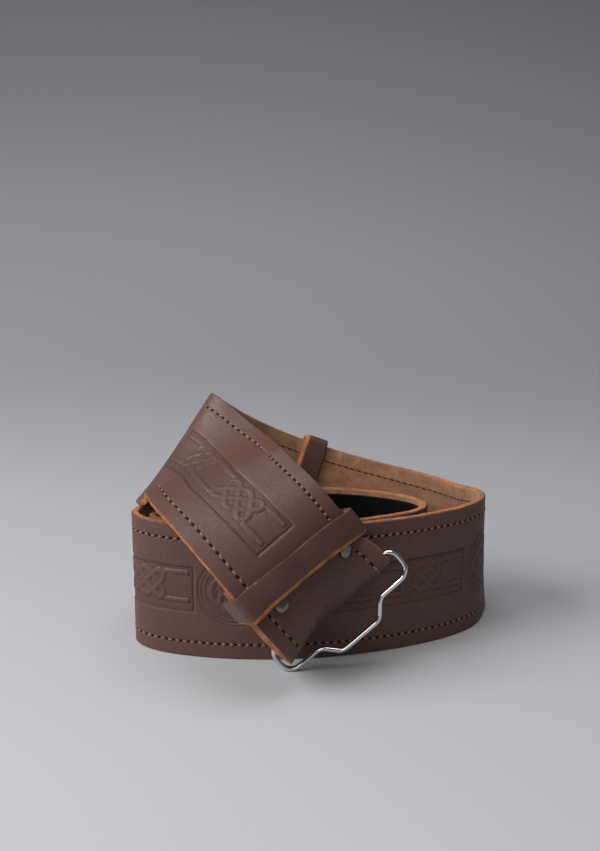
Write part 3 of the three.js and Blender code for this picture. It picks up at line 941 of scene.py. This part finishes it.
def build_keeper(name, node, edges, width, reach, grain_gap, seed):
    """A band over the strap's grain side, at a gap from it, and behind all plies down to a reach."""
    thickness = sizes().keeper_thickness
    half = half_width() + KEEPER_CLEARANCE
    outer = ply_face() + grain_gap
    points, normals = band_outline(half, outer, reach - KEEPER_CLEARANCE, thickness / 3)
    points, normals = fill_sides(points, normals, 0.7 * MM)
    section = band_section(width, thickness)
    start_piece()
    bpy.ops.mesh.primitive_torus_add(
        major_segments=len(points), minor_segments=len(section), major_radius=1, minor_radius=0.25)
    piece = bpy.context.object
    piece.name = name
    index = np.arange(len(piece.data.vertices))
    major, minor = index // len(section), index % len(section)
    at, out = section[minor].T
    uneven = waver(points[:, 0] + points[:, 1], seed, KEEPER_WAVES)[major] * KEEPER_UNEVENNESS
    raw = ((np.abs(at) > width / 2 - 0.2 * MM) | (at > width / 2 - 0.9 * RAW_CUT_REACH)).astype(float)
    across = points[major, 0] + normals[major, 0] * out
    share = across / (half_width())
    near, far = (np.interp(share, edges[:, 0], edges[:, side]) * MM for side in (1, 2))
    distance = PATH.end - far + (far - near) * (at / width + 0.5)
    distance += np.sign(at) * raw * (uneven - KEEPER_TRIM)
    off = points[major, 1] + normals[major, 1] * out
    off = off + KEEPER_LIFT * (at / width + 0.5) * np.clip(normals[major, 1], 0, 1)
    flat = np.column_stack([distance, across, off])
    place_corners(piece, PATH.wrap(flat))
    keep_attribute(piece, "flat", flat)
    dress(piece, keeper_finish(), cut_edge_finish(), suede_finish())
    around = face_corners(piece, minor)
    wrapped = around.max(0) - around.min(0) > 1
    begins = np.where(wrapped, around.max(0), around.min(0))
    kind = np.full(len(section), EDGE)
    kind[:KEEPER_STEPS - 1] = GRAIN
    kind[KEEPER_STEPS + 2:2 * KEEPER_STEPS + 1] = FLESH
    kind[2 * KEEPER_STEPS + 1:] = GRAIN
    finish_faces(piece, kind[begins])
    set_mode("EDIT")
    bpy.ops.mesh.select_all(action="SELECT")
    bpy.ops.mesh.normals_make_consistent(inside=False)
    set_mode("OBJECT")
    shade(piece, 45)
    carry(piece, "belt", "leather", node)


class BELT_OT_keepers(bpy.types.Operator):
    """Leather keepers: one round the folded end, one round the strap's back run"""
    bl_idname = "belt.keepers"
    bl_label = "Keepers"

    def execute(self, context):
        face = ply_face()
        build_keeper("belt_keeper_front", "keeper_front", FRONT_KEEPER_EDGES,
                     sizes().front_keeper_width, -CLOSED_PLIES - face, OVER_RIVETS, 21)
        build_keeper("belt_keeper_back", "keeper_back", BACK_KEEPER_EDGES,
                     sizes().back_keeper_width, -face, KEEPER_CLEARANCE, 22)
        return {"FINISHED"}


# Wire loop and rivets

RIVET_SETBACK = 23.8 * MM
RIVET_SLANT = 4.2 * MM
RIVET_SPREAD = 17.5 * MM
RIVET_CENTRE = 1.6 * MM
RIVET_RADIUS = 3.1 * MM
RIVET_HEIGHT = 1.05 * MM
RIVET_MIDDLE = -0.075 * MM
RIVET_SEAT_GAP = 0.7 * MM
# Insets of the cap's top, each with its rise
RIVET_DOME = ((0.32 * MM, 0.16 * MM), (0.7 * MM, 0.2 * MM), (0.8 * MM, 0.1 * MM))


class BELT_OT_wire_loop(bpy.types.Operator):
    """Chromed wire catch loop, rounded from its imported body"""
    bl_idname = "belt.wire_loop"
    bl_label = "Wire loop"

    def execute(self, context):
        start_piece()
        piece = frame["nodes"]["wire_loop"].copy()
        piece.data = piece.data.copy()
        piece.name = "belt_wire_loop"
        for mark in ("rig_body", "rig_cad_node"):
            if mark in piece:
                del piece[mark]
        piece.parent = None
        context.scene.collection.objects.link(piece)
        context.view_layer.objects.active = piece
        piece.select_set(True)
        set_mode("EDIT")
        bpy.ops.mesh.select_all(action="SELECT")
        bpy.ops.mesh.remove_doubles(threshold=1e-5)
        bpy.ops.mesh.tris_convert_to_quads(face_threshold=0.9, shape_threshold=1.6)
        set_mode("OBJECT")
        smooth = piece.modifiers.new("round", "SUBSURF")
        smooth.levels = smooth.render_levels = 2
        bpy.ops.object.modifier_apply(modifier=smooth.name)
        dress(piece, chrome_finish())
        shade(piece, 80)
        carry(piece, "loop", "chrome_wire", "wire_loop")
        return {"FINISHED"}


def rivet_place(side):
    """Seat of a rivet on the flap, and the flap's run, width and outward directions there."""
    face = ply_face()
    distance = PATH.end - RIVET_SETBACK + side * RIVET_SLANT
    across = RIVET_CENTRE + side * RIVET_SPREAD
    ends = PATH.wrap([(distance - RIVET_RADIUS, across, face), (distance + RIVET_RADIUS, across, face)])
    run = unit(ends[1] - ends[0])
    width = unit(PATH.along(PATH.widths, np.array([distance])))[0]
    outward = unit(np.cross(run, width))
    seat = PATH.wrap([(distance, across, face)])[0] + outward * RIVET_SEAT_GAP
    return seat, run, unit(np.cross(outward, run)), outward


def build_rivet(name, node, side):
    """Cap with a rolled rim and a low dome, modelled flat and then seated on the flap."""
    start_piece()
    bpy.ops.mesh.primitive_cylinder_add(
        vertices=48, radius=RIVET_RADIUS, depth=RIVET_HEIGHT, location=(0, 0, RIVET_MIDDLE))
    piece = bpy.context.object
    piece.name = name
    set_mode("EDIT")
    bpy.ops.mesh.select_all(action="DESELECT")
    set_mode("OBJECT")
    for face in piece.data.polygons:
        face.select = face.normal.z > 0.9
    set_mode("EDIT")
    for inset, rise in RIVET_DOME:
        bpy.ops.mesh.inset(thickness=inset, depth=0)
        bpy.ops.transform.translate(value=(0, 0, rise))
    set_mode("OBJECT")
    bevel = piece.modifiers.new("rim", "BEVEL")
    bevel.width = 0.2 * MM
    bevel.segments = 4
    bpy.ops.object.modifier_apply(modifier=bevel.name)
    bpy.ops.object.transform_apply(location=True, rotation=True, scale=True)
    seat, run, width, outward = rivet_place(side)
    local = corner_places(piece)
    place_corners(piece, seat + local[:, :1] * run + local[:, 1:2] * width + local[:, 2:] * outward)
    dress(piece, rivet_finish())
    shade(piece, 50)
    carry(piece, "belt", "rivet_metal", node)


class BELT_OT_rivets(bpy.types.Operator):
    """Two cap rivets through the folded end, partly under the front keeper"""
    bl_idname = "belt.rivets"
    bl_label = "Rivets"

    def execute(self, context):
        build_rivet("belt_rivet_left", "rivet_left", -1)
        build_rivet("belt_rivet_right", "rivet_right", 1)
        return {"FINISHED"}


# Stitches and fibres


def template_mesh(segments, rings):
    """Corners and faces of a round bead, from which stitches and fibres are copied."""
    start_piece()
    bpy.ops.mesh.primitive_uv_sphere_add(segments=segments, ring_count=rings, radius=1)
    bead = bpy.context.object
    corners = corner_places(bead)
    faces = [tuple(face.vertices) for face in bead.data.polygons]
    bpy.data.objects.remove(bead)
    return corners, faces


def copies(name, corners, faces, shapes):
    """One joined mesh of many copies. shapes gives each copy's corners in flat places."""
    count = len(corners)
    places = np.concatenate(shapes)
    mesh = bpy.data.meshes.new(name)
    all_faces = [tuple(index + copy * count for index in face)
                 for copy in range(len(shapes)) for face in faces]
    mesh.from_pydata(PATH.wrap(places).tolist(), [], all_faces)
    piece = bpy.data.objects.new(name, mesh)
    bpy.context.scene.collection.objects.link(piece)
    return piece


def stitch_shapes(corners, start, end, off, length, radius, slant, seed):
    """Stitches of both rows between two distances, each a bead drawn out along the strap."""
    draw = np.random.default_rng(seed)
    row = stitch_line()
    pitch = sizes().stitch_pitch
    shapes = []
    for side in (-1, 1):
        for number in range(int(start / pitch), int(end / pitch)):
            middle = (number + 0.5) * pitch
            turn = math.radians(slant * side + draw.uniform(-3, 3))
            long = corners[:, 0] * length / 2
            wide = corners[:, 1] * radius
            along = middle + long * math.cos(turn) - wide * math.sin(turn)
            across = side * row + long * math.sin(turn) + wide * math.cos(turn)
            arch = 0.25 * radius * (1 - corners[:, 0] ** 2)
            rise = flap_shape(along, across) if off > 0 else 0
            height = off + rise + corners[:, 2] * radius * 0.85 + arch
            shapes.append(np.column_stack([along, across, height]))
    return shapes


def add_thread(name, bead, shapes, finish):
    piece = copies(name, *bead, shapes)
    dress(piece, finish)
    shade(piece, 80)
    carry(piece, "belt", "leather")


class BELT_OT_stitches(bpy.types.Operator):
    """Stitches in both rows: brown thread on the grain side, black thread on the flesh side"""
    bl_idname = "belt.stitches"
    bl_label = "Stitches"

    def execute(self, context):
        bead = template_mesh(8, 6)
        face = ply_face()
        pitch = sizes().stitch_pitch
        grain = stitch_shapes(
            bead[0], start=270 * MM, end=PATH.end + 4 * MM, off=face - 0.16 * MM,
            length=pitch * 0.6, radius=0.45 * MM, slant=10, seed=31)
        add_thread("belt_thread_grain", bead, grain,
                   thread_finish("brown_thread", colours().thread, "6a4434"))
        flesh = stitch_shapes(
            bead[0], start=280 * MM, end=PATH.end - 30 * MM, off=-face - 0.02 * MM,
            length=pitch * 0.96, radius=0.36 * MM, slant=5, seed=32)
        add_thread("belt_thread_flesh", bead, flesh,
                   thread_finish("black_thread", "1b1210", "0c0807"))
        return {"FINISHED"}


FIBRE_COUNT = 900
FIBRE_START = 300 * MM
FIBRE_PAST_END = 6 * MM
FIBRE_ROOT = 0.3 * MM
# In mm
FIBRE_LENGTHS = (0.25, 0.95)
FIBRE_RADII = (0.04, 0.085)


class BELT_OT_edge_fibres(bpy.types.Operator):
    """Loose fibres along the raw edges of the strap"""
    bl_idname = "belt.edge_fibres"
    bl_label = "Edge fibres"

    def execute(self, context):
        draw = np.random.default_rng(41)
        corners, faces = template_mesh(4, 4)
        half = half_width()
        face = ply_face()
        shapes = []
        for _ in range(FIBRE_COUNT):
            side = draw.choice((-1, 1))
            distance = draw.uniform(FIBRE_START, PATH.end + FIBRE_PAST_END)
            off = draw.uniform(-face, face * 0.7)
            length = draw.uniform(*FIBRE_LENGTHS) * MM
            lean = draw.uniform(-1.2, 1.2)
            radius = draw.uniform(*FIBRE_RADII) * MM
            reach = (corners[:, 2] + 1) / 2 * length
            along = distance + reach * lean + corners[:, 0] * radius
            across = side * (half - FIBRE_ROOT + reach)
            depth = off + corners[:, 1] * radius + reach * draw.uniform(-0.6, 0.6)
            shapes.append(np.column_stack([along, across, depth]))
        piece = copies("belt_edge_fibres", corners, faces, shapes)
        dress(piece, thread_finish("leather_fibre", "c07c42", "8a5228"))
        carry(piece, "belt", "leather")
        return {"FINISHED"}


# Stage

CAMERA_PLACE = np.array([0.0, -447.0, 210.0]) * MM
CAMERA_PITCH = 14
LENS = 50
FILM = 36
SWEEP_START = 0.55
SWEEP_RADIUS = 0.9
FLOOR_HALF_WIDTH = 2.4
FLOOR_HALF_LENGTH = 2.6
FLOOR_FRONT = -1.9
Lamp = namedtuple("Lamp", "name place target power width height")
LAMPS = (
    Lamp("key", (-0.95, -0.33, 0.8), (0, 0, 0.04), 19, 0.75, 0.75),
    Lamp("front", (-0.4, -1.3, 0.9), (0, 0, 0.05), 5, 0.9, 0.7),
    Lamp("top", (0.0, -0.1, 1.25), (0, 0, 0.05), 7, 0.9, 0.7),
)


def build_floor():
    """Flat floor that sweeps up into a back wall, with painted shade: darker farther back and darker still
    up the wall.
    """
    start_piece()
    bpy.ops.mesh.primitive_grid_add(x_subdivisions=2, y_subdivisions=60, size=2)
    floor = bpy.context.object
    floor.name = "floor"
    places = corner_places(floor)
    run = (places[:, 1] + 1) * FLOOR_HALF_LENGTH + FLOOR_FRONT
    past = np.maximum(run - SWEEP_START, 0)
    angle = np.minimum(past / SWEEP_RADIUS, math.pi / 2)
    rise = np.maximum(past - SWEEP_RADIUS * math.pi / 2, 0)
    depth = np.where(past > 0, SWEEP_START + SWEEP_RADIUS * np.sin(angle), run)
    height = SWEEP_RADIUS * (1 - np.cos(angle)) + rise
    place_corners(floor, np.column_stack([places[:, 0] * FLOOR_HALF_WIDTH, depth, height]))
    keep_attribute(floor, "run", run)
    finish = Finish("studio_paper")
    far = finish.attribute("run", "Fac")
    cloud = finish.noise(finish.place(), 3, 2)
    tone = finish.blend(cloud, "a9a9ac", "adadb0")
    # Painted shade: the paper is darkened behind the belt (9b9aa0) and further up the wall (6a6b70),
    # copying light falloff
    tone = finish.blend(finish.ramp(far, -0.2, 0.5), tone, "9b9aa0")
    tone = finish.blend(finish.ramp(far, 0.8, 1.7), tone, "6a6b70")
    dress(floor, finish.finish(Base_Color=tone, Roughness=0.75))
    shade(floor, 60)


def add_light(lamp):
    light = bpy.data.lights.new(lamp.name, "AREA")
    light.shape = "RECTANGLE"
    light.size = lamp.width
    light.size_y = lamp.height
    light.energy = lamp.power
    piece = bpy.data.objects.new(lamp.name, light)
    piece.location = lamp.place
    piece.rotation_euler = (Vector(lamp.target) - Vector(lamp.place)).to_track_quat("-Z", "Y").to_euler()
    bpy.context.scene.collection.objects.link(piece)


class BELT_OT_stage(bpy.types.Operator):
    """Pale floor, soft lights and the camera"""
    bl_idname = "belt.stage"
    bl_label = "Stage"

    def execute(self, context):
        build_floor()
        for lamp in LAMPS:
            add_light(lamp)
        world = bpy.data.worlds.new("studio")
        world.use_nodes = True
        background = world.node_tree.nodes["Background"]
        background.inputs["Color"].default_value = (0.8, 0.82, 0.85, 1)
        background.inputs["Strength"].default_value = 0.17
        context.scene.world = world
        context.scene.view_settings.view_transform = "Standard"
        camera = bpy.data.cameras.new("camera")
        camera.lens = LENS
        camera.sensor_fit = "AUTO"
        camera.sensor_width = FILM
        camera.clip_start = 0.01
        view = bpy.data.objects.new("camera", camera)
        view.location = CAMERA_PLACE + PATH.shift
        view.rotation_euler = (math.radians(90 - CAMERA_PITCH), 0, 0)
        context.scene.collection.objects.link(view)
        context.scene.camera = view
        return {"FINISHED"}


class BELT_PT_panel(bpy.types.Panel):
    bl_idname = "BELT_PT_panel"
    bl_label = "Kilt belt"
    bl_space_type = "VIEW_3D"
    bl_region_type = "UI"
    bl_category = "Kilt belt"

    def draw(self, context):
        for group in (context.scene.belt_sizes, context.scene.belt_colours):
            for name in group.__annotations__:
                self.layout.prop(group, name)
        for operator in OPERATORS:
            self.layout.operator(operator.bl_idname)


OPERATORS = (BELT_OT_strap, BELT_OT_touch_fastener, BELT_OT_keepers, BELT_OT_wire_loop, BELT_OT_rivets,
             BELT_OT_stitches, BELT_OT_edge_fibres, BELT_OT_stage)
CLASSES = (BeltSizes, BeltColours, *OPERATORS, BELT_PT_panel)


def register():
    for item in CLASSES:
        bpy.utils.register_class(item)
    bpy.types.Scene.belt_sizes = bpy.props.PointerProperty(type=BeltSizes)
    bpy.types.Scene.belt_colours = bpy.props.PointerProperty(type=BeltColours)


def unregister():
    del bpy.types.Scene.belt_colours
    del bpy.types.Scene.belt_sizes
    for item in reversed(CLASSES):
        bpy.utils.unregister_class(item)


def main():
    register()
    bpy.ops.belt.strap()
    bpy.ops.belt.touch_fastener()
    bpy.ops.belt.keepers()
    bpy.ops.belt.wire_loop()
    bpy.ops.belt.rivets()
    bpy.ops.belt.stitches()
    bpy.ops.belt.edge_fibres()
    bpy.ops.belt.stage()


if __name__ == "__main__":
    main()
